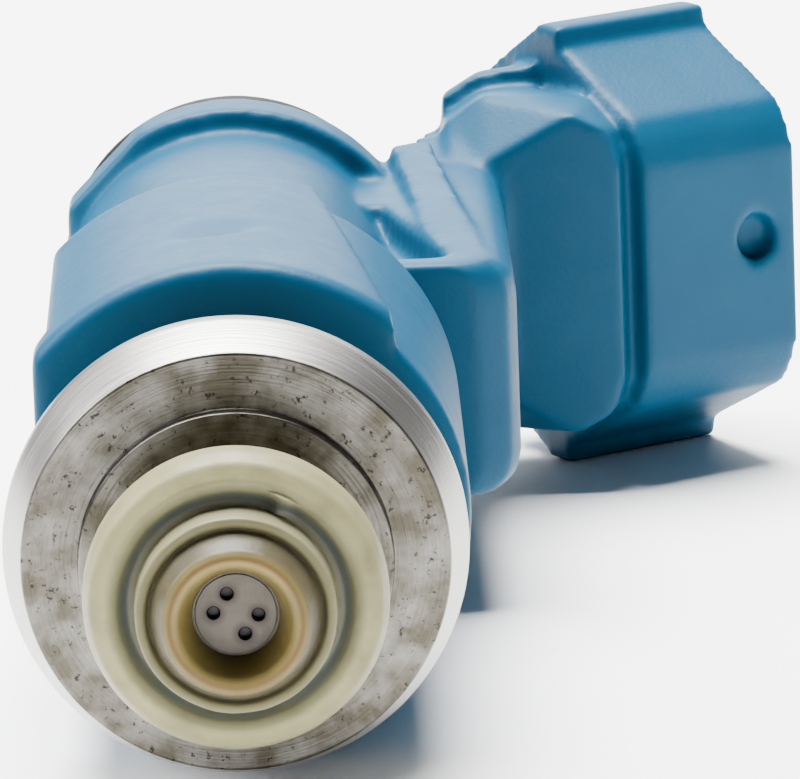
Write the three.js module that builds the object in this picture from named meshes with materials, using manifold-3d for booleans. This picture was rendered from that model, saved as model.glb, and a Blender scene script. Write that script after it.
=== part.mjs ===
// A side-connector fuel injector for a manifold, as an assembly of its separate pieces.
// The injector's axis is Y. The spray leaves towards -Y and the fuel comes in at the +Y end.
// The electrical connector stands out towards +X, and Z is across the connector's width.
// The origin is the centre of the orifice plate's outer face. All sizes are in millimetres.
import * as THREE from "three";
import { mergeVertices } from "three/addons/utils/BufferGeometryUtils.js";
import Module from "manifold-3d";

const wasm = await Module();
wasm.setup();

// ---------------------------------------------------------------- driving dimensions
const AROUND = 36; // facets round the pieces that show
const AROUND_INSIDE = 24; // facets round the small pieces inside
const FIT = 0.05; // radial or end clearance between neighbouring pieces

// stations along the axis
const FLANGE_FACE = 7.1; // steel flange's front face, which seats on the manifold
const BODY_FRONT = 13.5; // front of the overmoulded body, behind the steel flange
const SHOULDER = 29.6; // end of the coil housing
const NECK_START = 33; // where the taper behind the coil housing ends
const COLLAR_FRONT = 50.3;
const COLLAR_BACK = 53;
const INLET_END = 67;

// overmoulded body
const HOUSING_R = 9.45;
const NECK_R = 6.9;
const COLLAR_R = 7.85;
const BACK_FLAT = 6.7; // the flat side opposite the connector, measured from the axis
const FLANGE_FLAT = 7.15;
const CORNER_FLAT = 7.5; // the collar's two 45 degree corner cuts
const FLANGE_THICK = 2.4;
// the housing is at its full radius only on top, left of a slanted line; elsewhere it drops to a smaller one
const PAD_EDGE = { frontX: 6.2, backX: 2.9, outsideR: 8.55 };
const UNDERSIDE_Z = -2.5;

// rib that carries the terminals along the body, with a slanted ridge and a pocket on each side
const RIB = { front: 34, left: 4.5, right: 11, halfWidth: 4.7, corner: 1.5, end: 53.7 };
const RIDGE = { startX: 9.9, endX: 6.4, width: 1.8, endHalf: 5.7 };
const POCKET = { start: 35.6, end: 45.5, left: 4.6, rightStart: 8.3, rightEnd: 6, floor: 3.3 };

// connector: a fan-shaped neck beside the collar, and the shroud that leans out of it
const LEAN = THREE.MathUtils.degToRad(33); // from +X towards the inlet
const MOUTH = new THREE.Vector2(20.05, 62.1); // centre of the shroud's mouth, as X and Y
// sections of the neck: x and half width, at each y. Its inlet end has a raised lip.
const NECK = [
  { y: 52.6, half: [[4.5, 4.2], [8.7, 4.3], [8.8, 4.35], [10.3, 4.8], [13.9, 6.7], [15.2, 6], [15.8, 4.4]] },
  { y: 55.6, half: [[4.5, 5.2], [8.7, 5.4], [8.8, 5.9], [10.3, 7], [13.3, 7], [14.6, 6.8], [16.2, 5.4]] },
  { y: 60, half: [[4.5, 4.2], [8.7, 4.4], [8.8, 5.5], [10.3, 6.4], [12.2, 6.6], [12.5, 6.3], [12.7, 5.4]] },
];
const NECK_LIP = [
  { y: 58.8, half: [[4.5, 4.6], [8.7, 4.8], [8.8, 6.4], [10.3, 7.3], [12.6, 7.6], [13.2, 7]] },
  { y: 60.2, half: [[4.5, 4.5], [8.7, 4.7], [8.8, 6.3], [10.3, 7.2], [12.6, 7.5], [13, 7]] },
];
const SHROUD_DEPTH = 7.7;
// half of the shroud's section and of its socket's, as distance towards the nozzle and half width
const SHROUD_SECTION = [[5.85, 4.6], [4.9, 6.1], [0, 8.45], [0, 9.3], [-1.4, 9.3], [-6, 6.4]];
const SOCKET_SECTION = [[4.6, 3.9], [3.9, 5], [-0.6, 7.15], [-1.8, 7.15], [-4.75, 5.6]];
const SOCKET_DEPTH = 6.6;
const KEYWAY = { half: 1.3, depth: 5.9, floor: 5.5 }; // groove for the plug's key, on the inlet side
const CUP_R = 9.1; // room kept for the fuel rail's cup above the collar
const SEAL_SEAT = { r: 6.7, depth: 0.1 }; // recess under the backup ring

// steel valve body
const RIM_R = 8.35;
const RIM_BACK = 10.1;
const WAIST_R = 7.4;
const FACE_R = 7.63;
const STEP_R = 5.61;
const TUBE_R = 4.2;
const SLEEVE_R = 4.1;
const ARMATURE_BORE_R = 3.45;

// nozzle end
const CAP_R = 5.37;
const CAP_FLOOR = 2.1; // inside of the cap, where the valve body's tube ends
const PLATE_R = 2.6;
const PLATE_FACE_R = 1.42; // the part of the orifice plate that shows, raised above the part that the cap covers
const PLATE_STEP = 0.06;
const LIP_BACK = 0.02;
const SEAT_R = 3.3;
const HOLE_R = 0.2;
const HOLE_CIRCLE_R = 0.78;
const HOLE_ANGLES = [112, 176, -4.5, -68]; // degrees from +X towards +Z
const BALL_R = 1.75;
const BALL_Y = 3.74;
const LIFT = 0.1; // needle travel
const ARMATURE_TOP = 19.5;
const CORE_BOTTOM = ARMATURE_TOP + LIFT + 0.04;

// coil and its magnetic circuit
const COIL = { start: 14.1, end: 26.6, boreR: 4.2, hubR: 4.62, flangeR: 5.8, windingR: 5.6 };
const SHELL = { inner: 5.9, outer: 6.5, end: 28.2 };
const WASHER_START = 26.8;

// terminals
const PIN = { thick: 0.64, width: 1.5, offset: 2.9 };
const PIN_INNER_X = 5.05; // where they leave the bobbin
const PIN_OUTER_X = 9.35; // where they run along the rib

// inlet end
const O_RING = { centre: 5.4, section: 1.65, y: 57.4 };
const GROOVE_R = O_RING.centre - O_RING.section - 0.03;

// ---------------------------------------------------------------- helpers
const steel = (color, roughness) => new THREE.MeshStandardMaterial({ color, roughness, metalness: 1 });
const plastic = (color, roughness) => new THREE.MeshStandardMaterial({ color, roughness, metalness: 0 });

const group = new THREE.Group();

function addPart(name, geometry, material) {
  const mesh = new THREE.Mesh(geometry, material);
  mesh.name = name;
  group.add(mesh);
  return mesh;
}

// A ring or a shaft about the Y axis. Profile points are [radius, y]: up the outside, down the inside.
function lathe(profile, segments = AROUND) {
  const closed = profile[0][0] > 0;
  const points = (closed ? [...profile, profile[0]] : profile).map(([r, y]) => new THREE.Vector2(r, y));
  return new THREE.LatheGeometry(points, segments);
}

function ring(inner, outer, start, end, segments = AROUND_INSIDE) {
  return lathe([[inner, start], [outer, start], [outer, end], [inner, end]], segments);
}

function disc(radius, start, end, segments = AROUND) {
  return lathe([[0, start], [radius, start], [radius, end], [0, end]], segments);
}

function box(minimum, maximum) {
  const size = maximum.map((high, i) => high - minimum[i]);
  const centre = maximum.map((high, i) => (high + minimum[i]) / 2);
  return new THREE.BoxGeometry(...size).translate(...centre);
}

// Joining and cutting closed geometries.
function solid(geometry) {
  const bare = geometry.clone();
  bare.deleteAttribute("normal");
  bare.deleteAttribute("uv");
  const merged = mergeVertices(bare, 1e-4);
  return new wasm.Manifold(
    new wasm.Mesh({
      numProp: 3,
      vertProperties: merged.attributes.position.array,
      triVerts: new Uint32Array(merged.index.array),
    }),
  );
}

function geometryOf(body) {
  const mesh = body.getMesh();
  const geometry = new THREE.BufferGeometry();
  geometry.setAttribute("position", new THREE.BufferAttribute(mesh.vertProperties, 3));
  geometry.setIndex(new THREE.BufferAttribute(mesh.triVerts, 1));
  geometry.computeVertexNormals();
  return geometry;
}

function cut(body, ...tools) {
  return tools.reduce((rest, tool) => rest.subtract(solid(tool)), body);
}

function join(body, ...others) {
  return others.reduce((whole, other) => whole.add(solid(other)), body);
}

// An outline in the XY plane, extruded evenly to both sides of Z = middle.
function slab(outline, width, middle = 0) {
  const shape = new THREE.Shape(outline.map(([x, y]) => new THREE.Vector2(x, y)));
  const geometry = new THREE.ExtrudeGeometry(shape, { depth: width, bevelEnabled: false });
  return geometry.translate(0, 0, middle - width / 2);
}

// A solid through cross-sections across the Y axis, each given as its y and its [x, halfWidth] points.
function loft(sections) {
  const rings = sections.map(({ y, half }) => [
    ...half.map(([x, z]) => [x, y, z]),
    ...half.map(([x, z]) => [x, y, -z]).reverse(),
  ]);
  const count = rings[0].length;
  const index = [];
  for (let level = 0; level + 1 < rings.length; level += 1) {
    for (let i = 0; i < count; i += 1) {
      const near = level * count + i;
      const next = level * count + ((i + 1) % count);
      index.push(near, next, near + count, next, next + count, near + count);
    }
  }
  const last = (rings.length - 1) * count;
  for (let i = 1; i + 1 < count; i += 1) {
    index.push(0, i + 1, i, last, last + i, last + i + 1);
  }
  const geometry = new THREE.BufferGeometry();
  geometry.setAttribute("position", new THREE.Float32BufferAttribute(rings.flat(2), 3));
  geometry.setIndex(index);
  return geometry;
}

// The band of the given thickness that follows a route of [x, y] points.
function band(route, thickness, width, middle) {
  const points = route.map(([x, y]) => new THREE.Vector2(x, y));
  const sides = points.map((point, i) => {
    const before = points[Math.max(i - 1, 0)];
    const after = points[Math.min(i + 1, points.length - 1)];
    const arriving = point.clone().sub(before).normalize();
    const leaving = after.clone().sub(point).normalize();
    const along = arriving.clone().add(leaving).normalize();
    const turn = along.dot(i > 0 ? arriving : leaving);
    const across = new THREE.Vector2(-along.y, along.x).multiplyScalar(thickness / 2 / turn);
    return [point.clone().add(across), point.clone().sub(across)];
  });
  const outline = [...sides.map((pair) => pair[1]), ...sides.reverse().map((pair) => pair[0])];
  return slab(outline.map((point) => [point.x, point.y]), width, middle);
}

// ---------------------------------------------------------------- connector frame
// In its own frame the connector's length runs along +Y, up to the mouth at 0. Its thickness is
// along +X, which turns to face the nozzle, and its width is along Z.
function placeConnector(geometry) {
  geometry.rotateZ(LEAN - Math.PI / 2);
  return geometry.translate(MOUTH.x, MOUTH.y, 0);
}

// A prism along the connector's length, with the cross-section given as [thickness, width] points.
function connectorPrism(section, start, end) {
  const shape = new THREE.Shape(section.map(([x, z]) => new THREE.Vector2(x, z)));
  const geometry = new THREE.ExtrudeGeometry(shape, { depth: end - start, bevelEnabled: false });
  geometry.rotateX(-Math.PI / 2);
  return placeConnector(geometry.translate(0, start, 0));
}

const bothHalves = (half) => [...half, ...half.map(([x, z]) => [x, -z]).reverse()];

const connectorAxis = new THREE.Vector2(Math.cos(LEAN), Math.sin(LEAN));
const alongConnector = (distance) => {
  const point = MOUTH.clone().addScaledVector(connectorAxis, -distance);
  return [point.x, point.y];
};

const pinRoute = [
  [PIN_INNER_X, COIL.end - 0.9],
  [PIN_INNER_X, RIB.front + 1],
  [PIN_OUTER_X, RIB.front + 7],
  [PIN_OUTER_X, MOUTH.y - (MOUTH.x - PIN_OUTER_X) * Math.tan(LEAN)],
  alongConnector(1.6),
];

// ---------------------------------------------------------------- overmoulded body
function makeOvermould() {
  const trunk = lathe([
    [0, BODY_FRONT],
    [HOUSING_R - 0.35, BODY_FRONT],
    [HOUSING_R, BODY_FRONT + 0.35],
    [HOUSING_R, SHOULDER],
    [NECK_R, NECK_START],
    [NECK_R, COLLAR_FRONT],
    [COLLAR_R, COLLAR_FRONT],
    [COLLAR_R, COLLAR_BACK + 0.3],
    [0, COLLAR_BACK + 0.3],
  ]);
  const reach = 40;
  // On the connector side the housing drops to a smaller radius, along a line that leans across it.
  const besidePad = slab(
    [
      [PAD_EDGE.frontX, BODY_FRONT - 1],
      [reach, BODY_FRONT - 1],
      [reach, NECK_START],
      [PAD_EDGE.backX, NECK_START],
    ],
    reach,
  );
  const smaller = disc(PAD_EDGE.outsideR, BODY_FRONT - 2, NECK_START + 1).rotateY(Math.PI / AROUND);
  const underside = box([-reach, BODY_FRONT - 1, -reach], [reach, NECK_START, UNDERSIDE_Z]);
  const trim = cut(join(solid(besidePad), underside), smaller);
  const shroud = connectorPrism(bothHalves(SHROUD_SECTION), -SHROUD_DEPTH, 0);
  const neck = loft(NECK);
  const neckLip = loft(NECK_LIP);
  const rib = slab(
    [
      [RIB.left, RIB.front],
      [RIB.right - RIB.corner, RIB.front],
      [RIB.right, RIB.front + RIB.corner],
      [RIB.right, RIB.end],
      [RIB.left, RIB.end],
    ],
    2 * RIB.halfWidth,
  );
  const ridge = loft([
    { y: RIB.front + 0.8, half: [[RIDGE.startX - RIDGE.width, RIB.halfWidth], [RIDGE.startX, RIB.halfWidth]] },
    { y: RIB.end - 0.3, half: [[RIDGE.endX, RIDGE.endHalf], [RIDGE.endX + RIDGE.width, RIDGE.endHalf]] },
  ]);
  const pockets = [-1, 1].map((side) =>
    slab(
      [
        [POCKET.left, POCKET.start],
        [POCKET.rightStart, POCKET.start],
        [POCKET.rightEnd, POCKET.end],
        [POCKET.left, POCKET.end],
      ],
      4,
      side * (POCKET.floor + 2),
    ),
  );
  const flats = [
    box([-reach, BODY_FRONT + FLANGE_THICK, -reach], [-BACK_FLAT, INLET_END, reach]),
    box([-reach, BODY_FRONT - 1, -reach], [-FLANGE_FLAT, BODY_FRONT + FLANGE_THICK + 0.5, reach]),
  ];
  const corners = [-1, 1].map((side) =>
    box([-reach, COLLAR_FRONT - 0.01, -reach], [-CORNER_FLAT, COLLAR_BACK + 1, reach])
      .rotateY((side * Math.PI) / 4),
  );
  const bore = lathe([
    [0, BODY_FRONT - 1],
    [SHELL.outer + FIT, BODY_FRONT - 1],
    [SHELL.outer + FIT, SHELL.end + FIT],
    [SLEEVE_R + FIT, SHELL.end + FIT],
    [SLEEVE_R + FIT, COLLAR_BACK + 1],
    [0, COLLAR_BACK + 1],
  ]);
  const cup = lathe([
    [0, COLLAR_BACK - SEAL_SEAT.depth],
    [SEAL_SEAT.r, COLLAR_BACK - SEAL_SEAT.depth],
    [SEAL_SEAT.r, COLLAR_BACK],
    [CUP_R, COLLAR_BACK],
    [CUP_R, 2 * INLET_END],
    [0, 2 * INLET_END],
  ]);
  const socket = connectorPrism(bothHalves(SOCKET_SECTION), -SOCKET_DEPTH, 1);
  const keyway = connectorPrism(
    bothHalves([[0, KEYWAY.half], [-KEYWAY.floor, KEYWAY.half]]),
    -KEYWAY.depth,
    1,
  );
  const terminalSlots = [-1, 1].map((side) =>
    band(pinRoute, PIN.thick + 2 * FIT, PIN.width + 2 * FIT, side * PIN.offset),
  );
  const core = join(cut(join(solid(rib), ridge), ...pockets), neck, neckLip, shroud).add(solid(trunk).subtract(trim));
  return geometryOf(cut(core, ...flats, ...corners, cup, bore, socket, keyway, ...terminalSlots));
}

// ---------------------------------------------------------------- steel valve body
function makeValveBody() {
  return lathe([
    [SEAT_R + FIT, CAP_FLOOR + FIT],
    [TUBE_R, CAP_FLOOR + FIT],
    [TUBE_R, FLANGE_FACE - 0.6],
    [STEP_R, FLANGE_FACE - 0.6],
    [STEP_R, FLANGE_FACE],
    [FACE_R, FLANGE_FACE],
    [RIM_R, FLANGE_FACE + 2.3],
    [RIM_R, RIM_BACK],
    [WAIST_R, RIM_BACK],
    [WAIST_R, BODY_FRONT - FIT],
    [SHELL.outer, BODY_FRONT - FIT],
    [SHELL.outer, COIL.start - 0.1],
    [SLEEVE_R, COIL.start - 0.1],
    [SLEEVE_R, ARMATURE_TOP + 0.1],
    [ARMATURE_BORE_R, ARMATURE_TOP + 0.1],
    [ARMATURE_BORE_R, 12.4],
    [2.5, 12.4],
    [2.5, 6.5],
    [SEAT_R + FIT, 6.5],
  ]);
}

// ---------------------------------------------------------------- nozzle end
function makeNozzleCap() {
  return lathe([
    [1.47, LIP_BACK],
    [2.0, -1.35],
    [2.3, -1.5],
    [2.58, -1.35],
    [3.05, -0.1],
    [3.2, -0.35],
    [3.5, -0.35],
    [3.6, 1.6],
    [3.98, 1.6],
    [4.07, 1.0],
    [4.49, 0.85],
    [5.1, 1.15],
    [CAP_R, 1.8],
    [CAP_R, FLANGE_FACE - 4.35],
    [TUBE_R + FIT, FLANGE_FACE - 4.35],
    [TUBE_R + FIT, CAP_FLOOR],
    [PLATE_R + 2 * FIT, CAP_FLOOR],
    [PLATE_R + 2 * FIT, LIP_BACK],
  ]);
}

function makeOrificePlate() {
  const holes = HOLE_ANGLES.map((degrees) => {
    const angle = THREE.MathUtils.degToRad(degrees);
    const drill = new THREE.CylinderGeometry(HOLE_R, HOLE_R, 2, 10);
    return drill.translate(HOLE_CIRCLE_R * Math.cos(angle), 0, HOLE_CIRCLE_R * Math.sin(angle));
  });
  const plate = lathe([
    [0, 0],
    [PLATE_FACE_R, 0],
    [PLATE_FACE_R, PLATE_STEP],
    [PLATE_R, PLATE_STEP],
    [PLATE_R, 0.4],
    [0, 0.4],
  ]);
  return geometryOf(cut(solid(plate), ...holes));
}

function makeValveSeat() {
  return lathe([
    [0.75, 0.45],
    [PLATE_R, 0.45],
    [PLATE_R, CAP_FLOOR + FIT],
    [SEAT_R, CAP_FLOOR + FIT],
    [SEAT_R, 6.4],
    [BALL_R + FIT, 6.4],
    [BALL_R + FIT, BALL_Y - 0.55],
    [0.75, 1.85],
  ], AROUND_INSIDE);
}

function makeGuideDisc() {
  const plate = solid(ring(1.5, ARMATURE_BORE_R - FIT, 12.45, 12.95));
  const ports = [0, 1, 2, 3].map((i) =>
    new THREE.CylinderGeometry(0.45, 0.45, 2, 8)
      .translate(2.45, 12.7, 0)
      .rotateY((i * Math.PI) / 2),
  );
  return geometryOf(cut(plate, ...ports));
}

// ---------------------------------------------------------------- moving valve
function makeNeedle() {
  const stem = solid(ring(0.8, 1.4, BALL_Y + BALL_R * 0.8, 15.4));
  const ports = [0, 1].map((i) =>
    new THREE.CylinderGeometry(0.4, 0.4, 4, 8).rotateX(Math.PI / 2).rotateY((i * Math.PI) / 2).translate(0, 9, 0),
  );
  const seatOfBall = new THREE.SphereGeometry(BALL_R + 0.02, 24, 16).translate(0, BALL_Y, 0);
  return geometryOf(cut(stem, ...ports, seatOfBall));
}

function makeArmature() {
  const r = ARMATURE_BORE_R - FIT;
  const bodyOfArmature = lathe([
    [1.42, 13.4],
    [r, 13.4],
    [r, ARMATURE_TOP],
    [1.9, ARMATURE_TOP],
    [1.9, 17.2],
    [1.0, 17.2],
    [1.0, 15.5],
    [1.42, 15.5],
  ], AROUND_INSIDE);
  const grooves = [0, 1, 2, 3].map((i) =>
    box([r - 0.35, 12, -0.35], [r + 1, 21, 0.35]).rotateY((i * Math.PI) / 2),
  );
  return geometryOf(cut(solid(bodyOfArmature), ...grooves));
}

// A closed coil spring: an open helix with a round wire.
class Helix extends THREE.Curve {
  constructor(radius, start, end, turns) {
    super();
    Object.assign(this, { radius, start, end, turns });
  }
  getPoint(t, target = new THREE.Vector3()) {
    const angle = 2 * Math.PI * this.turns * t;
    const y = this.start + (this.end - this.start) * t;
    return target.set(this.radius * Math.cos(angle), y, this.radius * Math.sin(angle));
  }
}

function makeSpring() {
  const wire = 0.24;
  const turns = 7;
  const section = new THREE.Shape();
  section.absarc(0, 0, wire, 0, 2 * Math.PI);
  const route = new Helix(1.5, 17.2 + wire + 0.05, 25 - wire - 0.05, turns);
  return new THREE.ExtrudeGeometry(section, {
    steps: turns * 12,
    curveSegments: 3,
    bevelEnabled: false,
    extrudePath: route,
  });
}

// ---------------------------------------------------------------- magnetic circuit
function makeFixedCore() {
  return lathe([
    [1.9, CORE_BOTTOM],
    [ARMATURE_BORE_R - FIT, CORE_BOTTOM],
    [ARMATURE_BORE_R - FIT, 21.65],
    [SLEEVE_R, 21.65],
    [SLEEVE_R, 34],
    [1.9, 34],
  ], AROUND_INSIDE);
}

function makeBobbin() {
  const { start, end, boreR, hubR, flangeR } = COIL;
  const spool = lathe([
    [boreR, start + 1],
    [boreR + 0.85, start + 1],
    [boreR + 0.85, start],
    [flangeR, start],
    [flangeR, start + 1.1],
    [hubR, start + 1.1],
    [hubR, end - 1.1],
    [flangeR, end - 1.1],
    [flangeR, end],
    [boreR + 0.85, end],
    [boreR + 0.85, end - 1],
    [boreR, end - 1],
  ], AROUND_INSIDE);
  const slots = [-1, 1].map((side) =>
    band(pinRoute.slice(0, 2), PIN.thick + 2 * FIT, PIN.width + 2 * FIT, side * PIN.offset),
  );
  return geometryOf(cut(solid(spool), ...slots));
}

function makeYokeWasher() {
  const washer = ring(SLEEVE_R + FIT, SHELL.inner - FIT, WASHER_START, SHELL.end);
  const notch = box([3.9, WASHER_START - 1, -PIN.offset - 1.5], [9, SHELL.end + 1, PIN.offset + 1.5]);
  return geometryOf(cut(solid(washer), notch));
}

function makeShell() {
  const tube = ring(SHELL.inner, SHELL.outer, COIL.start - 0.05, SHELL.end);
  const notch = box([3.9, COIL.end - 2, -PIN.offset - 1.5], [9, SHELL.end + 1, PIN.offset + 1.5]);
  return geometryOf(cut(solid(tube), notch));
}

// ---------------------------------------------------------------- inlet end
function makeInletTube() {
  return lathe([
    [2.6, 34 + FIT],
    [SLEEVE_R, 34 + FIT],
    [SLEEVE_R, COLLAR_BACK + 0.05],
    [GROOVE_R, COLLAR_BACK + 0.05],
    [GROOVE_R, O_RING.y + O_RING.section + 0.2],
    [5.5, O_RING.y + O_RING.section + 0.5],
    [5.5, INLET_END - 1.5],
    [4.8, INLET_END],
    [3.6, INLET_END],
    [3.6, INLET_END - 5],
    [2.6, INLET_END - 6],
  ]);
}

function makeORing() {
  const points = Array.from({ length: 12 }, (_, i) => {
    const angle = (2 * Math.PI * i) / 12;
    return [O_RING.centre + O_RING.section * Math.cos(angle), O_RING.y + O_RING.section * Math.sin(angle)];
  });
  return lathe(points, AROUND);
}

function sealRing(centre, section, y) {
  const points = Array.from({ length: 8 }, (_, i) => {
    const angle = (2 * Math.PI * (i + 0.5)) / 8;
    return [centre + section * Math.cos(angle), y + section * Math.sin(angle)];
  });
  return lathe(points, AROUND_INSIDE);
}

function makeFilterFrame() {
  const top = INLET_END - 0.3;
  const bottom = INLET_END - 17;
  const cage = lathe([
    [0, bottom],
    [2.3, bottom],
    [2.3, top - 4],
    [3.5, top - 4],
    [3.5, top],
    [1.9, top],
    [1.9, bottom + 1],
    [0, bottom + 1],
  ], AROUND_INSIDE);
  const windows = [0, 1].map((i) =>
    box([-4, bottom + 2.2, -1.15], [4, top - 5.4, 1.15]).rotateY((i * Math.PI) / 2),
  );
  return geometryOf(cut(solid(cage), ...windows));
}

function makeFilterMesh() {
  const top = INLET_END - 4.4;
  const bottom = INLET_END - 15.9;
  return lathe([
    [0, bottom],
    [1.82, bottom],
    [1.82, top],
    [1.62, top],
    [1.62, bottom + 0.2],
    [0, bottom + 0.2],
  ], AROUND_INSIDE);
}

// ---------------------------------------------------------------- assembly
const skyBlue = plastic(0x3f8fb5, 0.5);
const cream = plastic(0xc9c39c, 0.55);
const machined = steel(0x9c968c, 0.38);
const bright = steel(0xb8b6b0, 0.3);
const magnetic = steel(0x7d7f82, 0.45);
const rubber = plastic(0x151515, 0.75);
const natural = plastic(0xd8d2c0, 0.6);

addPart("overmould_body", makeOvermould(), skyBlue);
addPart("valve_body", makeValveBody(), machined);
addPart("nozzle_cap", makeNozzleCap(), cream);
addPart("orifice_plate", makeOrificePlate(), bright);
addPart("valve_seat", makeValveSeat(), bright);
addPart("guide_disc", makeGuideDisc(), bright);
addPart("valve_ball", new THREE.SphereGeometry(BALL_R, 24, 14).translate(0, BALL_Y, 0), bright);
addPart("needle", makeNeedle(), bright);
addPart("armature", makeArmature(), magnetic);
addPart("return_spring", makeSpring(), bright);
addPart("adjusting_sleeve", ring(1.05, 1.9 - FIT, 25, 32), bright);
addPart("nonmagnetic_ring", ring(ARMATURE_BORE_R, SLEEVE_R, ARMATURE_TOP + 0.15, 21.6), bright);
addPart("fixed_core", makeFixedCore(), magnetic);
addPart("magnetic_shell", makeShell(), magnetic);
addPart("yoke_washer", makeYokeWasher(), magnetic);
addPart("coil_bobbin", makeBobbin(), natural);
addPart(
  "coil_winding",
  ring(COIL.hubR + FIT, COIL.windingR, COIL.start + 1.15, COIL.end - 1.15),
  new THREE.MeshStandardMaterial({ color: 0xa8592a, roughness: 0.4, metalness: 0.9 }),
);
addPart("bobbin_seal_lower", sealRing(4.58, 0.36, COIL.start + 0.48), rubber);
addPart("bobbin_seal_upper", sealRing(4.58, 0.36, COIL.end - 0.48), rubber);
for (const [name, side] of [["terminal_lower", -1], ["terminal_upper", 1]]) {
  addPart(name, band(pinRoute, PIN.thick, PIN.width, side * PIN.offset), bright);
}
addPart("inlet_tube", makeInletTube(), bright);
addPart("backup_ring", ring(SLEEVE_R, 6.5, COLLAR_BACK + 0.1, O_RING.y - O_RING.section - 0.1, AROUND), natural);
addPart("upper_o_ring", makeORing(), rubber);
addPart("filter_frame", makeFilterFrame(), natural);
addPart("filter_mesh", makeFilterMesh(), magnetic);

export default group;
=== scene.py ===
import math

import bpy
from mathutils import Matrix, Vector, noise


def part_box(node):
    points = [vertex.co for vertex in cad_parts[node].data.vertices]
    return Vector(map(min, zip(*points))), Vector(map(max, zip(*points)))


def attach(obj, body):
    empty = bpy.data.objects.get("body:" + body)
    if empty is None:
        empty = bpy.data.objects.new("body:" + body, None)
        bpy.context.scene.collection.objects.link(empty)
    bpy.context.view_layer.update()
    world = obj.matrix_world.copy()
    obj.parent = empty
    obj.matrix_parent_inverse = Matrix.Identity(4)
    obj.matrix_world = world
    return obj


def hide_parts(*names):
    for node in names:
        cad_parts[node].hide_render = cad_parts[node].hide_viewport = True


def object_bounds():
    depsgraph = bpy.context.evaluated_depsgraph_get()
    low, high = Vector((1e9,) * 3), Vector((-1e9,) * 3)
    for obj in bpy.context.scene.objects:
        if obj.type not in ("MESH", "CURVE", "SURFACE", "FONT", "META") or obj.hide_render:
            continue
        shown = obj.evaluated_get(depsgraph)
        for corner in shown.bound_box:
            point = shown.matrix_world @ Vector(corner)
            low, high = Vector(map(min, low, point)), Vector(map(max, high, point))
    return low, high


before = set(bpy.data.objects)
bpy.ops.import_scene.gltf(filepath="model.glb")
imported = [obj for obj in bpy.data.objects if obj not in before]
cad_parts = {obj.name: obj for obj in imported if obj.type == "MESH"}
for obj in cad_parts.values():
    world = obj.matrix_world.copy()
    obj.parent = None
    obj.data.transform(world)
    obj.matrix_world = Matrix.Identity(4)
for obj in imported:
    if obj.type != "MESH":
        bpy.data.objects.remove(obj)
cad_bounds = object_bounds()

# A side-connector fuel injector, seen from its nozzle in soft studio light.
# Shapes are built in millimetres, in the frame's own axes, and scaled to metres when they are finished:
# Y runs from the nozzle to the fuel inlet, X towards the connector, Z across it.
MM = 0.001
AROUND = 192  # segments round the turned pieces
FIT = 0.05  # gap between neighbouring pieces
FAR = 40  # longer than any cut has to reach

# overmoulded body
HOUSING_R = 9.45
# the housing has its full radius only on top, left of a slanted line; elsewhere it drops to a smaller one
PAD_EDGE = {"front_x": 6.2, "back_x": 2.9, "outside_r": 8.55}
UNDERSIDE_Z = -2.5
NECK_R = 6.9
COLLAR_R = 7.85
BACK_FLAT = 6.7  # distance of each flat from the axis
FLANGE_FLAT = 7.15
CORNER_FLAT = 7.5
FLANGE_THICK = 2.4
HOUSING_LENGTH = 16.1
TAPER_LENGTH = 3.4
COLLAR_LENGTH = 2.7
CUP_R = 9.1  # room for the fuel rail's cup behind the collar
SEAL_SEAT = {"r": 6.7, "depth": 0.1}  # recess in the back of the collar, under the backup ring
RING_GAP = 0.1  # between the back of the collar and the backup ring

# tubes and nozzle
SHELL_R = 6.5
SLEEVE_R = 4.1
TUBE_R = 4.2
SEAL_GROOVE = 4.35  # length of the groove between the cap and the steel flange's face
STEEL_FLANGE = {"r": 8.35, "face_r": 7.63, "boss_r": 5.61, "spigot_r": 7.4}
SEAT_R = 3.3
CAP_R = 5.37
CAP_FLOOR = 2.1
LIP_BACK = 0.02  # the cap's lip stops this far behind the plate's outer face
PLATE_R = 2.6
PLATE_FACE_R = 1.42  # the part of the plate that shows, raised above the part that the cap covers
PLATE_STEP = 0.06
PLATE_THICK = 0.4
HOLE_CIRCLE_R = 0.78
HOLE_ANGLES = (112, 176, -4.5, -68)  # degrees from X towards Z
HOLES = [
    (HOLE_CIRCLE_R * math.cos(math.radians(angle)), HOLE_CIRCLE_R * math.sin(math.radians(angle)))
    for angle in HOLE_ANGLES
]


def station(node, end):
    """The Y, in millimetres, where a CAD node starts (end 0) or stops (end 1)."""
    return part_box(node)[end].y / MM


BODY_FRONT = station("overmould_body", 0)
SHELL_END = station("magnetic_shell", 1)
COLLAR_BACK = station("backup_ring", 0) - RING_GAP
INLET_END = station("inlet_tube", 1)
CORE_TOP = station("fixed_core", 1)
CAP_BACK = station("nozzle_cap", 1)
FLANGE_FACE = CAP_BACK + SEAL_GROOVE
SHOULDER = BODY_FRONT + HOUSING_LENGTH
NECK_START = SHOULDER + TAPER_LENGTH
COLLAR_FRONT = COLLAR_BACK - COLLAR_LENGTH

# connector: its mouth's centre and the direction it leans in
LEAN = math.radians(33)
AXIS = Vector((math.cos(LEAN), math.sin(LEAN), 0))
ACROSS = Vector((math.sin(LEAN), -math.cos(LEAN), 0))
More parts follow.
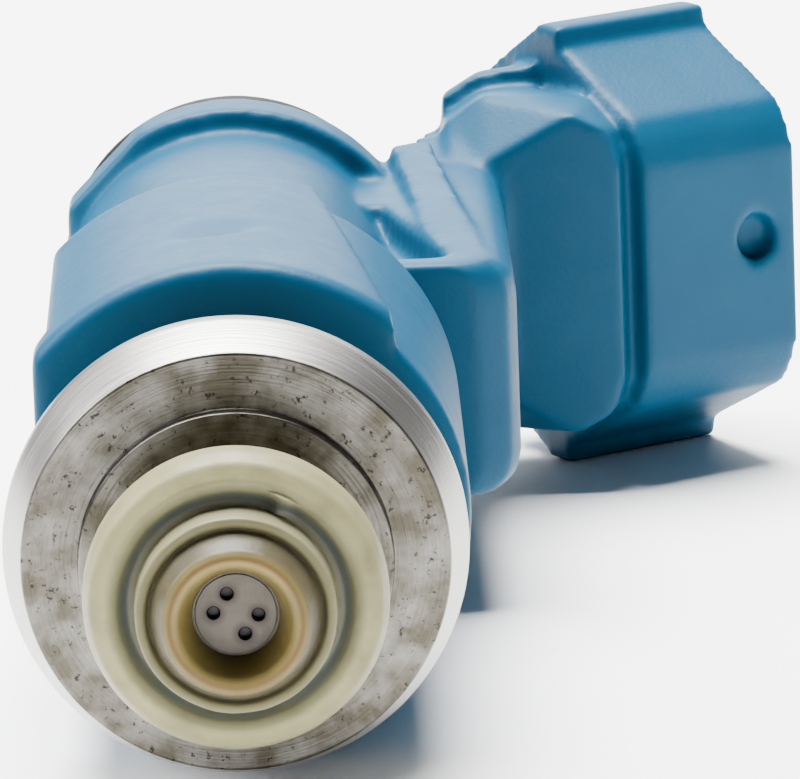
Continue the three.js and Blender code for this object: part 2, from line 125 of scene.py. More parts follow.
# half of the section of the shroud and of its socket, as distance towards the nozzle and half width
SHROUD_SECTION = [(5.85, 4.2), (5.5, 5.2), (4.9, 6.05), (0, 8.45), (0, 9.3), (-1.4, 9.3), (-6, 6.4)]
SOCKET_SECTION = [(4.6, 3.9), (3.9, 5), (-0.6, 7.15), (-1.8, 7.15), (-4.75, 5.6)]
MOUTH_Y = 62.1
MOUTH = Vector((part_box("overmould_body")[1].x / MM - SHROUD_SECTION[0][0] * ACROSS.x, MOUTH_Y, 0))
SHROUD_DEPTH = 7.7
SOCKET_DEPTH = 6.6
KEYWAY = {"half": 1.3, "floor": 5.5, "depth": 5.9}

# sections of the neck: y, then x and half width. Its inlet end has a raised lip.
NECK = [
    (52.6, [(4.5, 4.2), (8.7, 4.3), (8.8, 4.35), (10.3, 4.8), (13.9, 6.7), (15.2, 6), (15.8, 4.4)]),
    (55.6, [(4.5, 5.2), (8.7, 5.4), (8.8, 5.9), (10.3, 7), (13.3, 7), (14.6, 6.8), (16.2, 5.4)]),
    (60, [(4.5, 4.2), (8.7, 4.4), (8.8, 5.5), (10.3, 6.4), (12.2, 6.6), (12.5, 6.3), (12.7, 5.4)]),
]
NECK_LIP = [
    (58.8, [(4.5, 4.6), (8.7, 4.8), (8.8, 6.4), (10.3, 7.3), (12.6, 7.6), (13.2, 7)]),
    (60.2, [(4.5, 4.5), (8.7, 4.7), (8.8, 6.3), (10.3, 7.2), (12.6, 7.5), (13, 7)]),
]


# ---------------------------------------------------------------- mesh helpers
def new_object(name, points, faces):
    """A mesh object in the scene, from its points and faces."""
    mesh = bpy.data.meshes.new(name)
    mesh.from_pydata([tuple(p) for p in points], [], faces)
    mesh.validate()
    made = bpy.data.objects.new(name, mesh)
    bpy.context.scene.collection.objects.link(made)
    return made


def bake(obj):
    """Applies every modifier of obj to its mesh."""
    graph = bpy.context.evaluated_depsgraph_get()
    mesh = bpy.data.meshes.new_from_object(obj.evaluated_get(graph))
    obj.modifiers.clear()
    before = obj.data
    obj.data = mesh
    bpy.data.meshes.remove(before)
    return obj


def modify(obj, kind, **settings):
    """Adds a modifier of one kind to obj."""
    modifier = obj.modifiers.new(kind.lower(), kind)
    for key, value in settings.items():
        setattr(modifier, key, value)


def combine(obj, tools, operation):
    """Adds the tools to obj, or cuts them from it, and removes them."""
    for tool in tools:
        modify(obj, "BOOLEAN", object=tool, operation=operation, solver="EXACT")
        bake(obj)
        bpy.data.objects.remove(tool)
    return obj


def rounded(profile, radius, steps=4):
    """A closed profile with each corner rounded, as far as its neighbouring sides leave room."""
    points = []
    for i, corner in enumerate(profile):
        here = Vector(corner)
        before = Vector(profile[i - 1]) - here
        after = Vector(profile[(i + 1) % len(profile)]) - here
        on_axis = here.x == 0
        if on_axis or before.length == 0 or after.length == 0:
            points.append(here)
            continue
        cut = min(radius, 0.45 * before.length, 0.45 * after.length)
        start = here + before.normalized() * cut
        end = here + after.normalized() * cut
        for step in range(steps + 1):
            t = step / steps
            points.append(start * (1 - t) ** 2 + here * 2 * t * (1 - t) + end * t**2)
    return points


def facing_out(obj):
    """Turns the faces of a closed mesh outwards."""
    mesh = obj.data
    mesh.calc_loop_triangles()
    volume = 0.0
    for triangle in mesh.loop_triangles:
        a, b, c = (mesh.vertices[i].co for i in triangle.vertices)
        volume += a.dot(b.cross(c))
    if volume < 0:
        mesh.flip_normals()
    return obj


def revolve(name, profile, segments=AROUND):
    """A solid of revolution about Y, from a closed profile of (radius, y) points."""
    rings = []
    points = []
    for r, y in profile:
        count = 1 if r == 0 else segments
        rings.append((len(points), count))
        for i in range(count):
            angle = 2 * math.pi * i / segments
            points.append((r * math.cos(angle), y, r * math.sin(angle)))
    faces = []
    for (a, count_a), (b, count_b) in zip(rings, rings[1:] + rings[:1]):
        for i in range(segments):
            j = (i + 1) % segments
            corners = [a + i % count_a, b + i % count_b, b + j % count_b, a + j % count_a]
            unique = list(dict.fromkeys(corners))
            if len(unique) > 2:
                faces.append(unique)
    return facing_out(new_object(name, points, faces))


def loft(name, rings):
    """A solid through rings of the same number of points."""
    count = len(rings[0])
    faces = [list(range(count))[::-1], [(len(rings) - 1) * count + i for i in range(count)]]
    for level in range(len(rings) - 1):
        for i in range(count):
            near = level * count + i
            beside = level * count + (i + 1) % count
            faces.append([near, beside, beside + count, near + count])
    made = new_object(name, [p for ring in rings for p in ring], faces)
    modify(made, "TRIANGULATE")
    return facing_out(bake(made))


def mirrored(half):
    """The whole outline, from the half of it with positive second coordinates."""
    return [(x, z) for x, z in half] + [(x, -z) for x, z in reversed(half)]


def loft_along_y(name, sections):
    """A solid through half sections of (x, z) points, each at its own y."""
    return loft(name, [[(x, y, z) for x, z in mirrored(half)] for y, half in sections])


def prism(name, outline, low, high):
    """An outline in the XY plane, from Z = low to Z = high."""
    return loft(name, [[(x, y, low) for x, y in outline], [(x, y, high) for x, y in outline]])


def box(name, low, high):
    """A block between two opposite corners."""
    outline = [(low[0], low[1]), (high[0], low[1]), (high[0], high[1]), (low[0], high[1])]
    return prism(name, outline, low[2], high[2])


def connector_prism(name, section, start, end):
    """A prism along the connector. Section points are (towards the nozzle, across)."""
    rings = []
    for along in (start, end):
        rings.append([MOUTH + AXIS * along + ACROSS * t + Vector((0, 0, z)) for t, z in section])
    return loft(name, rings)


def finished(obj, node, body, material, sharp_angle=40):
    """Scales a piece to metres, gives it its material and puts it in the CAD node's place."""
    obj.data.transform(Matrix.Scale(MM, 4))
    for polygon in obj.data.polygons:
        polygon.use_smooth = True
    obj.data.set_sharp_from_angle(angle=math.radians(sharp_angle))
    obj.data.materials.clear()
    obj.data.materials.append(material)
    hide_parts(node)
    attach(obj, body)


# ---------------------------------------------------------------- overmoulded body
def make_trunk():
    """The turned part of the body: coil housing, taper, neck and collar."""
    edge_round = 0.35
    above_collar = COLLAR_BACK + 0.3  # the cup is cut down to COLLAR_BACK later
    trunk = revolve(
        "trunk",
        [
            (0, BODY_FRONT),
            (HOUSING_R - edge_round, BODY_FRONT),
            (HOUSING_R, BODY_FRONT + edge_round),
            (HOUSING_R, SHOULDER),
            (NECK_R, NECK_START),
            (NECK_R, COLLAR_FRONT),
            (COLLAR_R, COLLAR_FRONT),
            (COLLAR_R, above_collar),
            (0, above_collar),
        ],
    )
    before = BODY_FRONT - 1
    half_far = FAR / 2
    beside = [
        (PAD_EDGE["front_x"], before),
        (FAR, before),
        (FAR, NECK_START),
        (PAD_EDGE["back_x"], NECK_START),
    ]
    trim = prism("trim", beside, -half_far, half_far)
    underside = box("underside", (-half_far, before, -half_far), (FAR, NECK_START, UNDERSIDE_Z))
    combine(trim, [underside], "UNION")
    smaller_r = PAD_EDGE["outside_r"]
    smaller = revolve("smaller", [(0, 0), (smaller_r, 0), (smaller_r, 1.5 * FAR), (0, 1.5 * FAR)])
    combine(trim, [smaller], "DIFFERENCE")
    return combine(trunk, [trim], "DIFFERENCE")


def rib_half(reach):
    """Half of the rib's section, with its outer corner rounded."""
    return [(4.5, 4.7), (reach - 1.4, 4.7), (reach - 0.7, 4.5), (reach - 0.2, 4.0), (reach, 3.2)]


def make_body():
    """The whole overmoulded body, joined and cut, with its edges softened as one moulding."""
    rib_front = BODY_FRONT + 20.5
    rib_end = COLLAR_BACK + 0.7
    reaches = [(rib_front, 9.5), (rib_front + 0.6, 10.6), (rib_front + 1.5, 11), (rib_end, 11)]
    body = loft_along_y("injector_shell", [(y, rib_half(reach)) for y, reach in reaches])
    ridge = loft_along_y(
        "ridge",
        [(rib_front + 0.8, [(8.1, 4.7), (9.9, 4.7)]), (rib_end - 0.3, [(6.4, 5.7), (8.2, 5.7)])],
    )
    combine(body, [ridge], "UNION")
    pocket_start = rib_front + 1.6
    pocket_end = rib_front + 11.5
    pocket = [(4.6, pocket_start), (8.3, pocket_start), (6, pocket_end), (4.6, pocket_end)]
    pocket_z = 5.3
    pocket_half = 2
    for side in (-1, 1):
        middle = side * pocket_z
        sunk = prism("pocket", pocket, middle - pocket_half, middle + pocket_half)
        combine(body, [sunk], "DIFFERENCE")
    neck = loft_along_y("neck", NECK)
    neck_lip = loft_along_y("neck_lip", NECK_LIP)
    shroud = connector_prism("shroud", mirrored(SHROUD_SECTION), -SHROUD_DEPTH, 0)
    combine(body, [neck, neck_lip, shroud, make_trunk()], "UNION")

    flange_end = BODY_FRONT + FLANGE_THICK
    cuts = [
        box("back_flat", (-FAR, flange_end, -FAR), (-BACK_FLAT, FAR * 2, FAR)),
        box("flange_flat", (-FAR, 0, -FAR), (-FLANGE_FLAT, flange_end + 0.5, FAR)),
    ]
    for side in (-1, 1):
        corner = box("corner", (-FAR, COLLAR_FRONT - 0.01, -FAR), (-CORNER_FLAT, COLLAR_BACK + 1, FAR))
        corner.data.transform(Matrix.Rotation(side * math.pi / 4, 4, "Y"))
        cuts.append(corner)
    bore = revolve(
        "bore",
        [
            (0, BODY_FRONT - 1),
            (SHELL_R + FIT, BODY_FRONT - 1),
            (SHELL_R + FIT, SHELL_END + FIT),
            (SLEEVE_R + FIT, SHELL_END + FIT),
            (SLEEVE_R + FIT, COLLAR_BACK + 1),
            (0, COLLAR_BACK + 1),
        ],
    )
    cup = revolve(
        "cup",
        [
            (0, COLLAR_BACK - SEAL_SEAT["depth"]),
            (SEAL_SEAT["r"], COLLAR_BACK - SEAL_SEAT["depth"]),
            (SEAL_SEAT["r"], COLLAR_BACK),
            (CUP_R, COLLAR_BACK),
            (CUP_R, FAR * 2),
            (0, FAR * 2),
        ],
    )
    keyway = mirrored([(0, KEYWAY["half"]), (-KEYWAY["floor"], KEYWAY["half"])])
    cuts += [
        bore,
        cup,
        connector_prism("socket", mirrored(SOCKET_SECTION), -SOCKET_DEPTH, 1),
        connector_prism("keyway", keyway, -KEYWAY["depth"], 1),
        make_mould_mark(),
        make_dimple(),
    ]
    combine(body, cuts, "DIFFERENCE")

    # one even mesh, smoothed, gives every edge the radius of a moulding
    modify(body, "REMESH", mode="VOXEL", voxel_size=0.2)
    modify(body, "SMOOTH", factor=0.5, iterations=14)
    return bake(body)


def make_mould_mark():
    """The cutter for the shallow crescent on top of the coil housing."""
    mark_r = 2.1
    tilt = math.radians(97)  # 7 degrees off upright, so that only one side of the disc cuts in
    depth = 0.12
    mark = revolve("mark", [(0, 0), (mark_r, 0), (mark_r, 3), (0, 3)])
    mark.data.transform(Matrix.Rotation(tilt, 4, "X"))
    mark.data.transform(Matrix.Translation((-0.9, BODY_FRONT + 7.4, HOUSING_R - depth)))
    return mark


def make_dimple():
    """The cutter for the small blind hole in the shroud's nozzle side."""
    hole_r = 0.95
    depth = 0.9
    from_mouth = 1.9
    hole = revolve("hole", [(0, -depth), (hole_r, -depth), (hole_r, 2), (0, 2)])
    turn = ACROSS.to_track_quat("Y", "Z").to_matrix().to_4x4()
    centre = MOUTH - AXIS * from_mouth + ACROSS * SHROUD_SECTION[0][0] + Vector((0, 0, 0.5))
    hole.data.transform(Matrix.Translation(centre) @ turn)
    return hole


# ---------------------------------------------------------------- steel valve body
def make_flange():
    """The stepped steel valve body: lower tube, boss, chamfered flange and upper sleeve, with its bore."""
    tube_front = station("valve_body", 0)
    boss_face = FLANGE_FACE - 0.6
    chamfer_end = FLANGE_FACE + 2.3
    rim_end = FLANGE_FACE + 3
    shell_front = station("magnetic_shell", 0) - FIT
    sleeve_top = station("armature", 1) + 0.1
    armature_bore_r = 3.45
    armature_floor = 12.4
    needle_bore_r = 2.5
    seat_top = 6.5
    profile = [
        (SEAT_R + FIT, tube_front),
        (TUBE_R, tube_front),
        (TUBE_R, boss_face),
        (STEEL_FLANGE["boss_r"], boss_face),
        (STEEL_FLANGE["boss_r"], FLANGE_FACE),
        (STEEL_FLANGE["face_r"], FLANGE_FACE),
        (STEEL_FLANGE["r"], chamfer_end),
        (STEEL_FLANGE["r"], rim_end),
        (STEEL_FLANGE["spigot_r"], rim_end),
        (STEEL_FLANGE["spigot_r"], BODY_FRONT - FIT),
        (SHELL_R, BODY_FRONT - FIT),
        (SHELL_R, shell_front),
        (SLEEVE_R, shell_front),
        (SLEEVE_R, sleeve_top),
        (armature_bore_r, sleeve_top),
        (armature_bore_r, armature_floor),
        (needle_bore_r, armature_floor),
        (needle_bore_r, seat_top),
        (SEAT_R + FIT, seat_top),
    ]
    return revolve("steel_flange", rounded(profile, 0.1))


# ---------------------------------------------------------------- nozzle end
def make_nozzle_ring():
    """The cream ring: crater round the plate, inner band, annular slot, outer rim, and its bore."""
    profile = [
        (1.47, LIP_BACK),
        (2.0, -1.35),
        (2.3, -1.5),
        (2.58, -1.35),
        (3.05, -0.1),
        (3.2, -0.35),
        (3.5, -0.35),
        (3.57, 1.15),
        (3.78, 1.3),
        (4.03, 1.15),
        (4.2, 0.95),
        (4.49, 0.85),
        (5.1, 1.15),
        (CAP_R, 1.8),
        (CAP_R, CAP_BACK),
        (TUBE_R + FIT, CAP_BACK),
        (TUBE_R + FIT, CAP_FLOOR),
        (PLATE_R + 2 * FIT, CAP_FLOOR),
        (PLATE_R + 2 * FIT, LIP_BACK),
    ]
    ring = revolve("nozzle_ring", rounded(profile, 0.16))
    nick_angle = math.radians(65)
    nick_half_angle = 0.09  # radians
    nick_height = 0.35
    unevenness = 0.03
    for vertex in ring.data.vertices:
        x, y, z = vertex.co
        r = math.hypot(x, z)
        on_bore = TUBE_R <= r <= TUBE_R + 0.2
        if 1.6 < r and y < 2 and not on_bore:
            wobble = noise.noise(Vector((x, y, z)) * 0.9) * unevenness
            vertex.co *= 1 - abs(wobble) / r
        # a smooth nick that rises from the floor of the slot at one place
        if 3.6 < r < 4.3 and y > 0.6:
            away = math.atan2(z, x) - nick_angle
            vertex.co.y -= nick_height * math.exp(-((away / nick_half_angle) ** 2))
    return ring


def make_spray_plate():
    """The plate with its holes drilled blind, so that nothing behind it shines through them."""
    profile = [
        (0, 0),
        (PLATE_FACE_R, 0),
        (PLATE_FACE_R, PLATE_STEP),
        (PLATE_R, PLATE_STEP),
        (PLATE_R, PLATE_THICK),
        (0, PLATE_THICK),
    ]
    plate = revolve("spray_plate", rounded(profile, 0.03))
    hole_r = 0.2
    floor = 0.34
    drill_profile = [(0, -0.5), (0.33, -0.5), (0.24, 0.03), (hole_r, 0.08), (hole_r, floor), (0, floor)]
    drills = []
    for x, z in HOLES:
        drill = revolve("drill", drill_profile, 32)
        drill.data.transform(Matrix.Translation((x, 0, z)))
        drills.append(drill)
    return combine(plate, drills, "DIFFERENCE")


# ---------------------------------------------------------------- inlet end
def make_inlet():
    """The steel inlet tube, with the groove that holds the O-ring and a chamfered end."""
    groove_end = station("upper_o_ring", 1) + 0.2
    groove_r = 3.72
    bead_r = 5.5
    mouth_r = 3.6
    bore_r = 2.6
    profile = [
        (bore_r, CORE_TOP + FIT),
        (SLEEVE_R, CORE_TOP + FIT),
        (SLEEVE_R, COLLAR_BACK + FIT),
        (groove_r, COLLAR_BACK + FIT),
        (groove_r, groove_end),
        (bead_r, groove_end + 0.3),
        (bead_r, INLET_END - 1.5),
        (4.8, INLET_END),
        (mouth_r, INLET_END),
        (mouth_r, INLET_END - 5),
        (bore_r, INLET_END - 6),
    ]
    return revolve("inlet", rounded(profile, 0.15))


def make_o_ring():
    """The O-ring, with a thin line of moulding flash on its outside and its inside."""
    low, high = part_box("upper_o_ring")
    section = (high.y - low.y) / 2 / MM
    middle = (high.y + low.y) / 2 / MM
    centre = high.x / MM - section
    flash = 0.05
    steps = 32
    profile = []
    for i in range(steps):
        angle = 2 * math.pi * i / steps
        on_parting_line = i in (0, steps // 2)
        reach = section if on_parting_line else section - flash
        profile.append((centre + reach * math.cos(angle), middle + reach * math.sin(angle)))
    return revolve("rail_o_ring", profile)


def make_backup():
    """The flat plastic ring that backs the O-ring."""
    ring_r = 6.5
    front = station("backup_ring", 0)
    back = station("backup_ring", 1)
    profile = [(SLEEVE_R, front), (ring_r, front), (ring_r, back), (SLEEVE_R, back)]
    return revolve("rail_backup_ring", rounded(profile, 0.2))


def make_filter():
    """The inlet filter's frame: a head, and a cage with four windows for the gauze."""
    bottom = station("filter_frame", 0)
    top = station("filter_frame", 1)
    head_r = 3.5
    cage_r = 2.3
    bore_r = 1.9
    head_bottom = top - 4
    floor_top = bottom + 1
    profile = [
        (0, bottom),
        (cage_r, bottom),
        (cage_r, head_bottom),
        (head_r, head_bottom),
        (head_r, top),
        (bore_r, top),
        (bore_r, floor_top),
        (0, floor_top),
    ]
    cage = revolve("filter_cage", rounded(profile, 0.12), 96)
    half_window = 1.15
    windows = []
    for turn in (0, math.pi / 2):
        window = box("window", (-4, bottom + 2.2, -half_window), (4, top - 5.4, half_window))
        window.data.transform(Matrix.Rotation(turn, 4, "Y"))
        windows.append(window)
    return combine(cage, windows, "DIFFERENCE")


def make_terminal(node):
    """A blade with the CAD node's own shape, on a mesh of its own, with its edges rounded."""
    terminal = bpy.data.objects.new(node + "_blade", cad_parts[node].data.copy())
    bpy.context.scene.collection.objects.link(terminal)
    terminal.data.transform(Matrix.Scale(1 / MM, 4))
    modify(terminal, "WELD", merge_threshold=0.001)
    modify(terminal, "BEVEL", width=0.12, segments=3, angle_limit=math.radians(50))
    return bake(terminal)


# ---------------------------------------------------------------- materials
class Surface:
    """A procedural material and helpers for its node tree. Lengths in patterns are in millimetres."""

    def __init__(self, name, roughness, metallic=0.0):
        self.material = bpy.data.materials.new(name)
        self.material.use_nodes = True
        self.tree = self.material.node_tree
        self.shader = self.tree.nodes["Principled BSDF"]
        self.shader.inputs["Metallic"].default_value = metallic
        self.shader.inputs["Roughness"].default_value = roughness
        scale = self.node("ShaderNodeVectorMath", operation="SCALE")
        self.link(self.node("ShaderNodeTexCoord").outputs["Object"], scale.inputs[0])
        scale.inputs["Scale"].default_value = 1 / MM
        self.place = scale.outputs[0]

    def node(self, kind, **settings):
        made = self.tree.nodes.new(kind)
        for key, value in settings.items():
            setattr(made, key, value)
        return made

    def link(self, source, target):
        self.tree.links.new(source, target)

    def math(self, operation, first, second=0.0):
        """A maths node on two values, each a number or another node's output."""
        made = self.node("ShaderNodeMath", operation=operation)
        for value, socket in zip((first, second), made.inputs):
            if isinstance(value, (int, float)):
                socket.default_value = value
            else:
                self.link(value, socket)
        return made.outputs[0]

    def noise(self, size, detail=3.0, place=None, rough=0.55):
        """Noise from 0 to 1, with features about size millimetres across."""
        made = self.node("ShaderNodeTexNoise")
        made.inputs["Scale"].default_value = 1 / size
        made.inputs["Detail"].default_value = detail
        made.inputs["Roughness"].default_value = rough
        self.link(place or self.place, made.inputs["Vector"])
        return made.outputs[0]

    def ramp(self, source, stops):
        """Colours or grey levels along 0 to 1, from [(position, value), ...]."""
        made = self.node("ShaderNodeValToRGB")
        elements = made.color_ramp.elements
        while len(elements) < len(stops):
            elements.new(0.5)
        for element, (position, value) in zip(elements, stops):
            element.position = position
            element.color = (*value, 1) if isinstance(value, tuple) else (value, value, value, 1)
        self.link(source, made.inputs[0])
        return made.outputs[0]

    def mix(self, factor, first, second):
        """Blends two colours. Each of the three is a value or another node's output."""
        made = self.node("ShaderNodeMix", data_type="RGBA")
        sockets = (made.inputs[0], made.inputs[6], made.inputs[7])  # factor and the two colours
        for value, socket in zip((factor, first, second), sockets):
            if isinstance(value, tuple):
                socket.default_value = (*value, 1)
            elif isinstance(value, float):
                socket.default_value = value
            else:
                self.link(value, socket)
        return made.outputs[2]

    def split(self):
        """The x, y and z of the place."""
        made = self.node("ShaderNodeSeparateXYZ")
        self.link(self.place, made.inputs[0])
        return made.outputs

    def flat_place(self):
        """The place with its Y left out."""
        x, _, z = self.split()
        made = self.node("ShaderNodeCombineXYZ")
        self.link(x, made.inputs[0])
        self.link(z, made.inputs[2])
        return made.outputs[0]

    def radius(self):
        """The distance from the Y axis."""
        x, _, z = self.split()
        squares = self.math("ADD", self.math("MULTIPLY", x, x), self.math("MULTIPLY", z, z))
        return self.math("SQRT", squares)

    def turned(self, pitch):
        """Coordinates that stretch a pattern round the Y axis, as a lathe's marks run."""
        x, y, z = self.split()
        made = self.node("ShaderNodeCombineXYZ")
        self.link(self.math("DIVIDE", self.radius(), pitch), made.inputs[0])
        self.link(self.math("DIVIDE", y, pitch), made.inputs[1])
        self.link(self.math("MULTIPLY", self.math("ARCTAN2", z, x), 2.0), made.inputs[2])
        return made.outputs[0]

    def colour(self, source):
        self.link(source, self.shader.inputs["Base Color"])

    def roughness(self, source, low, high):
        """Roughness from low to high as the source goes from 0 to 1."""
        made = self.node("ShaderNodeMapRange")
        self.link(source, made.inputs[0])
        made.inputs["To Min"].default_value = low
        made.inputs["To Max"].default_value = high
        self.link(made.outputs[0], self.shader.inputs["Roughness"])

    def bump(self, height, depth):
        """Relief of about depth millimetres."""
        made = self.node("ShaderNodeBump")
        made.inputs["Distance"].default_value = depth * MM
        self.link(height, made.inputs["Height"])
        self.link(made.outputs[0], self.shader.inputs["Normal"])


def sky_blue():
    """Blue plastic, slightly mottled and scuffed."""
    s = Surface("sky_blue", 0.42)
    s.shader.inputs["Specular IOR Level"].default_value = 0.12
    mottle = s.noise(3.5)
    base = s.mix(mottle, (0.001, 0.046, 0.098), (0.003, 0.062, 0.122))
    scuffs = s.ramp(s.noise(0.5, 6.0, rough=0.75), [(0.66, 0.0), (0.8, 0.3)])
    s.colour(s.mix(scuffs, base, (0.05, 0.13, 0.18)))
    s.roughness(s.noise(1.2), 0.36, 0.52)
    s.bump(s.noise(0.22, 2.0), 0.012)
    return s.material


def cream():
    """Yellowed plastic, with its own tint for each ring-shaped zone of the nozzle, painted shade down the
    crater's walls and in the slot, and a painted highlight on the rounded outer rim.
    """
    s = Surface("cream", 0.4)
    s.shader.inputs["Specular IOR Level"].default_value = 0.15
    outer_r = 6.0
    # each stop is a radius, as a share of outer_r, and the colour there, which is the plastic's tint in
    # some zones and painted light in others
    ring_tints_and_painted_light = s.ramp(
        s.math("DIVIDE", s.radius(), outer_r),
        [
            # painted shade, darkest next to the plate, down the crater's inner wall
            (0.24, (0.06, 0.045, 0.012)),
            (0.31, (0.12, 0.09, 0.024)),
            (0.36, (0.19, 0.145, 0.048)),
            (0.385, (0.12, 0.065, 0.018)),
            (0.41, (0.15, 0.12, 0.045)),
            # painted shade on the crater's outer flank
            (0.44, (0.055, 0.047, 0.026)),
            (0.515, (0.050, 0.044, 0.026)),
            (0.54, (0.14, 0.13, 0.062)),
            (0.58, (0.16, 0.15, 0.08)),
            # grey: painted shade in the slot
            (0.615, (0.12, 0.12, 0.085)),
            (0.635, (0.06, 0.068, 0.06)),
            (0.665, (0.07, 0.078, 0.066)),
            (0.70, (0.17, 0.165, 0.09)),
            # painted highlight on the rounded outer rim
            (0.775, (0.27, 0.255, 0.125)),
            (0.9, (0.19, 0.18, 0.095)),
        ],
    )
    stain = s.ramp(s.noise(1.4, 5.0), [(0.45, 0.0), (0.75, 0.45)])
    s.colour(s.mix(stain, ring_tints_and_painted_light, (0.10, 0.088, 0.04)))
    s.roughness(s.noise(0.7), 0.3, 0.5)
    s.bump(s.noise(0.35, 4.0), 0.02)
    return s.material


def turned_steel():
    """Steel with turning marks, stained and specked on the flange's face."""
    s = Surface("turned_steel", 0.32, 1.0)
    marks = s.noise(1.0, 3.0, s.turned(0.09))
    bright = s.mix(marks, (0.32, 0.31, 0.29), (0.52, 0.51, 0.49))
    # the flange's face, and all in front of it, is stained; the chamfer behind it is bright
    _, y, _ = s.split()
    near_face = s.ramp(s.math("SUBTRACT", y, FLANGE_FACE - 0.5), [(0.53, 1.0), (0.62, 0.1)])
    patches = s.ramp(s.noise(1.5, 5.0), [(0.3, 0.62), (0.62, 1.0)])
    stained = s.mix(marks, (0.035, 0.032, 0.023), (0.115, 0.105, 0.08))
    face = s.mix(s.math("MULTIPLY", near_face, patches), bright, stained)
    specks = s.ramp(s.noise(0.3, 4.0, rough=0.7), [(0.6, 0.0), (0.66, 0.9)])
    s.colour(s.mix(s.math("MULTIPLY", specks, near_face), face, (0.02, 0.017, 0.015)))
    s.roughness(marks, 0.24, 0.5)
    s.bump(marks, 0.02)
    return s.material


def plate_steel():
    """Heat-tinted steel with a brown deposit round each spray hole, and painted shade, near black, inside
    each hole.
    """
    s = Surface("heat_tinted_steel", 0.5, 0.2)
    tint = s.mix(s.noise(0.8, 4.0), (0.045, 0.036, 0.023), (0.11, 0.095, 0.072))
    nearest = 1.0
    for x, z in HOLES:
        apart = s.node("ShaderNodeVectorMath", operation="DISTANCE")
        s.link(s.flat_place(), apart.inputs[0])
        apart.inputs[1].default_value = (x, 0, z)
        nearest = s.math("MINIMUM", apart.outputs["Value"], nearest)
    coked = s.mix(s.ramp(nearest, [(0.28, 1.0), (0.5, 0.0)]), tint, (0.035, 0.02, 0.013))
    # painted shade: near black inside each spray hole
    s.colour(s.mix(s.ramp(nearest, [(0.24, 1.0), (0.3, 0.0)]), coked, (0.004, 0.002, 0.001)))
    s.roughness(s.noise(0.3), 0.4, 0.6)
    s.bump(s.noise(0.12, 3.0), 0.01)
    return s.material


def ground_steel(name, dark, light, grain):
    """Bare metal with turning marks about grain millimetres apart."""
    s = Surface(name, 0.3, 1.0)
    marks = s.noise(1.0, 3.0, s.turned(grain))
    s.colour(s.mix(marks, dark, light))
    s.roughness(marks, 0.22, 0.42)
    s.bump(marks, 0.01)
    return s.material


def moulded(name, dark, light, roughness, sheen):
    """A slightly uneven moulded plastic or rubber."""
    s = Surface(name, roughness)
    s.shader.inputs["Specular IOR Level"].default_value = sheen
    s.colour(s.mix(s.noise(2.0, 4.0), dark, light))
    s.roughness(s.noise(0.8), roughness - 0.08, roughness + 0.1)
    s.bump(s.noise(0.2, 3.0), 0.012)
    return s.material


def copper():
    """Enamelled wire, with one ridge for each turn along Y, and painted shade in the crease between each
    two turns.
    """
    wire = 0.16
    s = Surface("enamelled_copper", 0.3, 0.9)
    _, y, _ = s.split()
    turns = s.math("ABSOLUTE", s.math("SINE", s.math("MULTIPLY", y, math.pi / wire)))
    # painted shade: darker copper in the crease between turns, the wire's own colour on each crest
    s.colour(s.mix(turns, (0.20, 0.06, 0.02), (0.72, 0.30, 0.12)))
    s.roughness(s.noise(0.5), 0.22, 0.4)
    s.bump(turns, 0.05)
    return s.material


def gauze():
    """Woven metal gauze."""
    wires_around = 40.0
    pitch = 0.3
    s = Surface("filter_gauze", 0.45, 1.0)
    x, y, z = s.split()
    around = s.math("MULTIPLY", s.math("ARCTAN2", z, x), wires_around)
    along = s.math("MULTIPLY", y, 2 * math.pi / pitch)
    weave = s.math("MULTIPLY", s.math("SINE", around), s.math("SINE", along))
    s.colour(s.mix(s.ramp(weave, [(0.0, 0.0), (0.5, 1.0)]), (0.12, 0.12, 0.12), (0.5, 0.5, 0.48)))
    s.bump(weave, 0.03)
    return s.material


# ---------------------------------------------------------------- studio
FLOOR_Z = cad_bounds[0].z
# angles in degrees, lengths in millimetres
CAMERA = {"azimuth": 1.115, "elevation": 13.12, "roll": 2.0, "distance": 293.6, "lens": 364.9}
AIM = Vector((6.11, BODY_FRONT + 0.96, 4.36)) * MM
LIT_POINT = Vector((0.004, 0.03, 0))  # in metres, as are the places and sizes of the floor and lights


def make_camera():
    """A long lens a little above the nozzle, almost straight on to it."""
    data = bpy.data.cameras.new("camera")
    data.lens = CAMERA["lens"]
    data.sensor_width = 36
    data.clip_start = 0.01
    data.clip_end = 20
    camera = bpy.data.objects.new("camera", data)
    bpy.context.scene.collection.objects.link(camera)
    turn = (
        Matrix.Rotation(math.radians(CAMERA["roll"]), 4, "Y")
        @ Matrix.Rotation(math.radians(-CAMERA["azimuth"]), 4, "Z")
        @ Matrix.Rotation(math.radians(90 - CAMERA["elevation"]), 4, "X")
    )
    away = Matrix.Translation((0, 0, CAMERA["distance"] * MM))
    camera.matrix_world = Matrix.Translation(AIM) @ turn @ away
    bpy.context.scene.camera = camera


def area_light(name, place, size, power):
    """A round soft light at a place, turned towards the object."""
    data = bpy.data.lights.new(name, "AREA")
    data.shape = "DISK"
    data.size = size
    data.energy = power
    light = bpy.data.objects.new(name, data)
    bpy.context.scene.collection.objects.link(light)
    light.location = place
    towards = LIT_POINT - Vector(place)
    light.rotation_mode = "QUATERNION"
    light.rotation_quaternion = towards.to_track_quat("-Z", "Y")


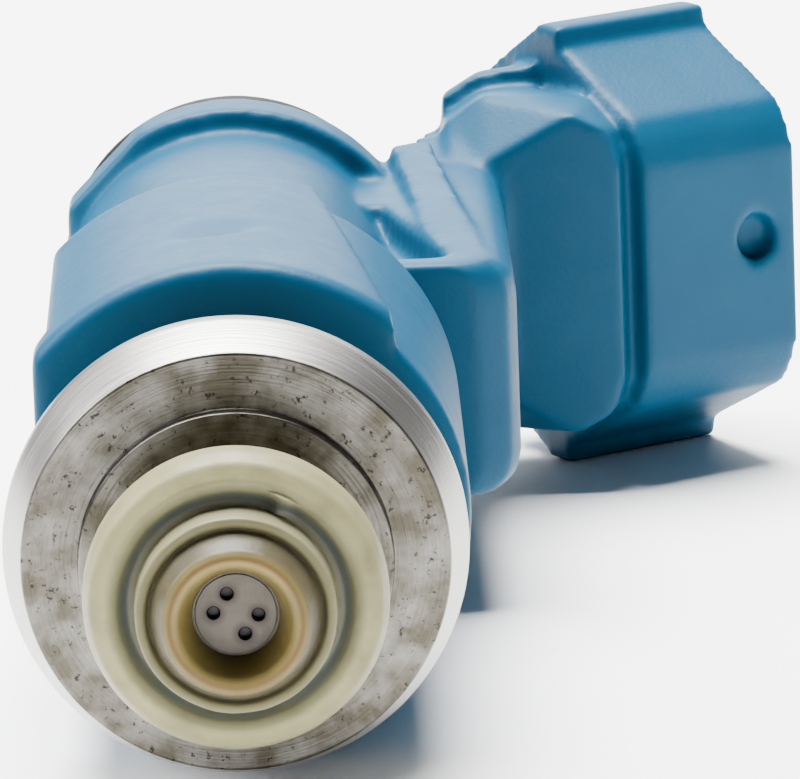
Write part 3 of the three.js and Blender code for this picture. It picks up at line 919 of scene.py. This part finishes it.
def make_studio():
    """The pale floor under the object, a dim even surrounding and four soft lights."""
    reach = 4
    corners = [(-reach, -reach, 0), (reach, -reach, 0), (reach, reach, 0), (-reach, reach, 0)]
    floor = new_object("floor", corners, [[0, 1, 2, 3]])
    floor.location.z = FLOOR_Z
    s = Surface("pale_floor", 0.8)
    s.colour(s.mix(s.noise(60.0), (0.94, 0.94, 0.94), (0.97, 0.97, 0.97)))
    floor.data.materials.append(s.material)
    world = bpy.data.worlds.new("studio")
    world.use_nodes = True
    background = world.node_tree.nodes["Background"]
    background.inputs["Color"].default_value = (0.93, 0.96, 1, 1)
    background.inputs["Strength"].default_value = 0.1
    bpy.context.scene.world = world
    area_light("top", (-0.05, 0.2, 0.6), 0.5, 30)
    area_light("left", (-0.5, 0.12, 0.4), 0.35, 5)
    area_light("back", (0, 0.9, 0.4), 0.7, 6)
    area_light("front", (0.25, -0.6, 0.2), 0.3, 0.1)


# ---------------------------------------------------------------- the object
steel = turned_steel()
bright_steel = ground_steel("bright_steel", (0.46, 0.45, 0.44), (0.64, 0.63, 0.62), 0.06)
magnetic_steel = ground_steel("magnetic_steel", (0.24, 0.25, 0.26), (0.4, 0.41, 0.42), 0.1)
tin = ground_steel("tinned_brass", (0.55, 0.55, 0.53), (0.72, 0.72, 0.7), 0.2)
natural = moulded("natural_nylon", (0.25, 0.215, 0.15), (0.36, 0.32, 0.235), 0.45, 0.3)
rubber = moulded("black_rubber", (0.003, 0.003, 0.003), (0.008, 0.008, 0.008), 0.5, 0.15)

ROOT = "injector_body"
finished(make_body(), "overmould_body", ROOT, sky_blue(), sharp_angle=60)
finished(make_flange(), "valve_body", ROOT, steel)
finished(make_nozzle_ring(), "nozzle_cap", ROOT, cream())
finished(make_spray_plate(), "orifice_plate", ROOT, plate_steel())
finished(make_inlet(), "inlet_tube", ROOT, bright_steel)
finished(make_o_ring(), "upper_o_ring", ROOT, rubber)
finished(make_backup(), "backup_ring", ROOT, natural)
finished(make_filter(), "filter_frame", ROOT, natural)
for terminal_node in ("terminal_lower", "terminal_upper"):
    finished(make_terminal(terminal_node), terminal_node, ROOT, tin)

# pieces inside the body, which keep their CAD shape and are given a material each
INSIDE = {
    bright_steel: [
        "valve_seat",
        "guide_disc",
        "valve_ball",
        "needle",
        "return_spring",
        "adjusting_sleeve",
        "nonmagnetic_ring",
    ],
    magnetic_steel: ["armature", "fixed_core", "magnetic_shell", "yoke_washer"],
    natural: ["coil_bobbin"],
    rubber: ["bobbin_seal_lower", "bobbin_seal_upper"],
    copper(): ["coil_winding"],
    gauze(): ["filter_mesh"],
}
for material, names in INSIDE.items():
    for name in names:
        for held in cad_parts[name].material_slots:
            held.material = material

make_camera()
make_studio()
